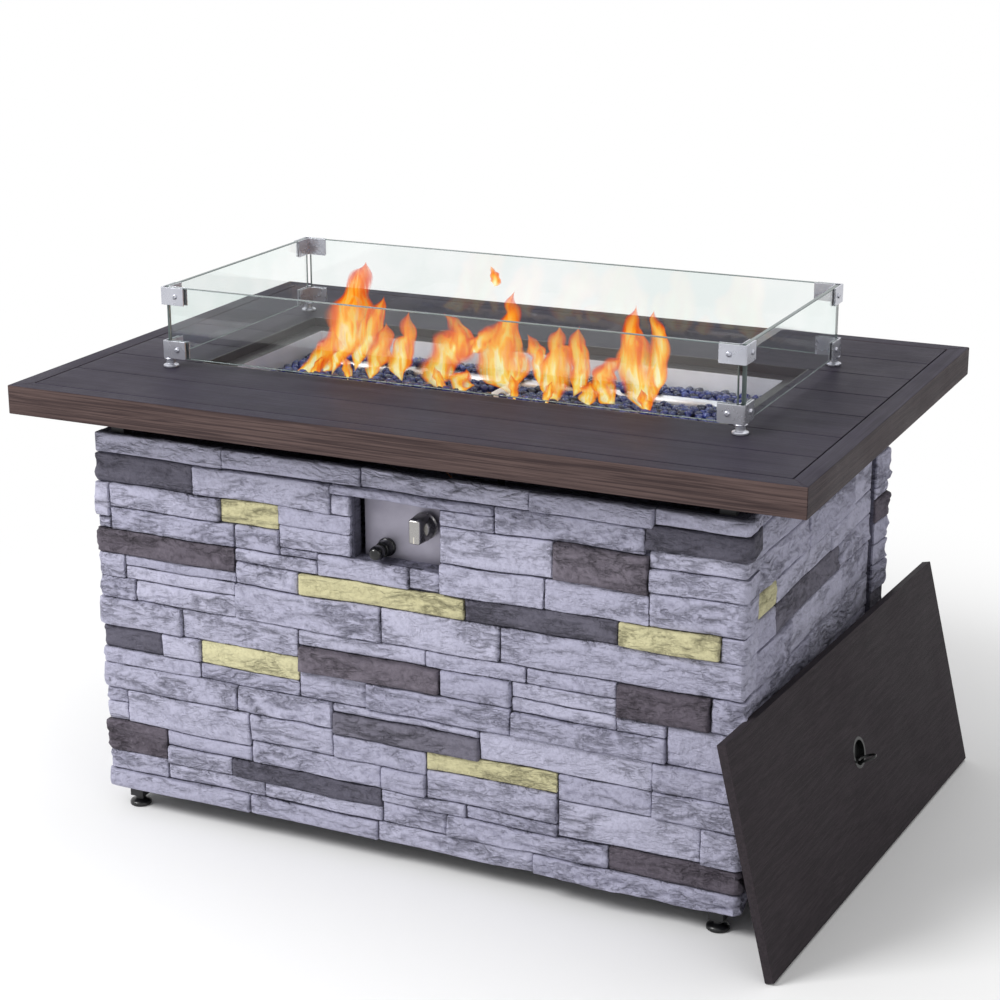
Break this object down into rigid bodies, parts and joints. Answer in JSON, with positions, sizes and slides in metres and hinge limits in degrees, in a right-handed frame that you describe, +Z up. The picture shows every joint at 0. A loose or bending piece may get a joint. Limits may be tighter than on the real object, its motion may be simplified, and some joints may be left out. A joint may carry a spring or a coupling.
{
  "type": "fire pit table",
  "caption": "Rectangular gas fire pit table with slatted top, burner well, glass wind guard, leaning lid, and stone-look base with control recess.",
  "frame": {"origin": "on the floor under the middle of the table, at the centre of its four feet", "axes": "+X along the table to the right as seen from the controls, -Y the front with the controls, +Z up"},
  "size_m": [1.1348, 0.7594, 0.7273],
  "materials": {
    "wood_look_frame": "satin wood-grain coating",
    "wood_look_slats": "satin wood-grain coating",
    "black_steel": "satin powder coat",
    "dark_trim": "satin powder coat",
    "stainless": "brushed",
    "zinc_steel": "bright zinc",
    "brass": "machined",
    "black_plastic": "matt",
    "chrome": "polished",
    "ceramic": "unglazed",
    "copper": "drawn",
    "rubber": "matt",
    "clear_glass": "polished",
    "blue_fire_glass": "polished",
    "lid_paint": "satin powder coat",
    "black_metal": "satin",
    "cast_stone": "matt, rough"
  },
  "bodies": {
    "table": {"edge_rail_front": "wood_look_frame", "edge_rail_right": "wood_look_frame", "edge_rail_back": "wood_look_frame", "edge_rail_left": "wood_look_frame", "slat_front_outer": "wood_look_slats", "slat_front_inner": "wood_look_slats", "slat_back_inner": "wood_look_slats", "slat_back_outer": "wood_look_slats", "short_slats_left": "wood_look_slats", "short_slats_right": "wood_look_slats", "top_frame": "black_steel", "opening_trim": "dark_trim", "burner_pan": "stainless", "burner_tube": "stainless", "burner_nut": "zinc_steel", "air_mixer": "brass", "igniter_electrode": "ceramic", "pilot_shield": "stainless", "fire_glass_bed": "blue_fire_glass", "control_plate": "stainless", "plate_screws": "zinc_steel", "gas_valve": "brass", "gas_inlet": "brass", "igniter_bezel": "black_plastic", "igniter_nut": "black_plastic", "igniter_module": "black_plastic", "leg_front_left": "black_steel", "leg_front_right": "black_steel", "leg_back_left": "black_steel", "leg_back_right": "black_steel", "leg_inserts": "black_plastic", "base_rails": "black_steel", "stone_panel_front": "cast_stone", "stone_panel_left": "cast_stone", "stone_panel_right": "cast_stone", "frame_bolts": "zinc_steel", "gas_hose": "rubber", "igniter_lead": "rubber", "heat_sensor": "copper"},
    "knob": {"control_knob": "chrome", "valve_stem": "stainless"},
    "push_collar_body": {"push_collar": "stainless"},
    "igniter_push": {"igniter_button": "chrome"},
    "wind_guard": {"guard_glass_front": "clear_glass", "guard_glass_back": "clear_glass", "guard_glass_left": "clear_glass", "guard_glass_right": "clear_glass", "guard_brackets": "chrome", "guard_inner_plates": "chrome", "guard_screws": "stainless", "guard_feet": "chrome"},
    "lid": {"lid_panel": "lid_paint", "lid_pull_cup": "black_metal"},
    "pull_ring": {"lid_pull_ring": "black_metal"},
    "foot_front_left": {"levelling_foot_front_left": "black_plastic"},
    "foot_front_right": {"levelling_foot_front_right": "black_plastic"},
    "foot_back_left": {"levelling_foot_back_left": "black_plastic"},
    "foot_back_right": {"levelling_foot_back_right": "black_plastic"},
    "back_panel": {"stone_panel_back": "cast_stone", "panel_magnets": "zinc_steel"}
  },
  "joints": [
    {"name": "knob_push", "type": "slide", "parent": "table", "child": "push_collar_body", "axis": [0, 1, 0], "range_m": [0, 0.004], "stiffness_N_per_m": 1500, "springref_m": -0.002},
    {"name": "knob_turn", "type": "hinge", "parent": "push_collar_body", "child": "knob", "pos_m": [0.028, -0.287, 0.476], "axis": [0, -1, 0], "range_deg": [0, 180]},
    {"name": "igniter_press", "type": "slide", "parent": "table", "child": "igniter_push", "axis": [0, 1, 0], "range_m": [0, 0.004], "stiffness_N_per_m": 900, "springref_m": -0.002},
    {"name": "foot_screw_front_left", "type": "slide", "parent": "table", "child": "foot_front_left", "axis": [0, 0, -1], "range_m": [0, 0.015]},
    {"name": "foot_screw_front_right", "type": "slide", "parent": "table", "child": "foot_front_right", "axis": [0, 0, -1], "range_m": [0, 0.015]},
    {"name": "foot_screw_back_left", "type": "slide", "parent": "table", "child": "foot_back_left", "axis": [0, 0, -1], "range_m": [0, 0.015]},
    {"name": "foot_screw_back_right", "type": "slide", "parent": "table", "child": "foot_back_right", "axis": [0, 0, -1], "range_m": [0, 0.015]},
    {"name": "guard_lift", "type": "slide", "parent": "table", "child": "wind_guard", "axis": [0, 0, 1], "range_m": [0, 0.25]},
    {"name": "lid_carry", "type": "slide", "parent": "table", "child": "lid", "axis": [1, 0, 0], "range_m": [0, 0.3]},
    {"name": "pull_ring_flip", "type": "hinge", "parent": "lid", "child": "pull_ring", "pos_m": [0.52648, -0.01542, 0.13893], "axis": [0.0593, 0.9982, 0], "range_deg": [-80, 10]},
    {"name": "back_panel_pull", "type": "slide", "parent": "table", "child": "back_panel", "axis": [0, 1, 0], "range_m": [0, 0.35]}
  ]
}
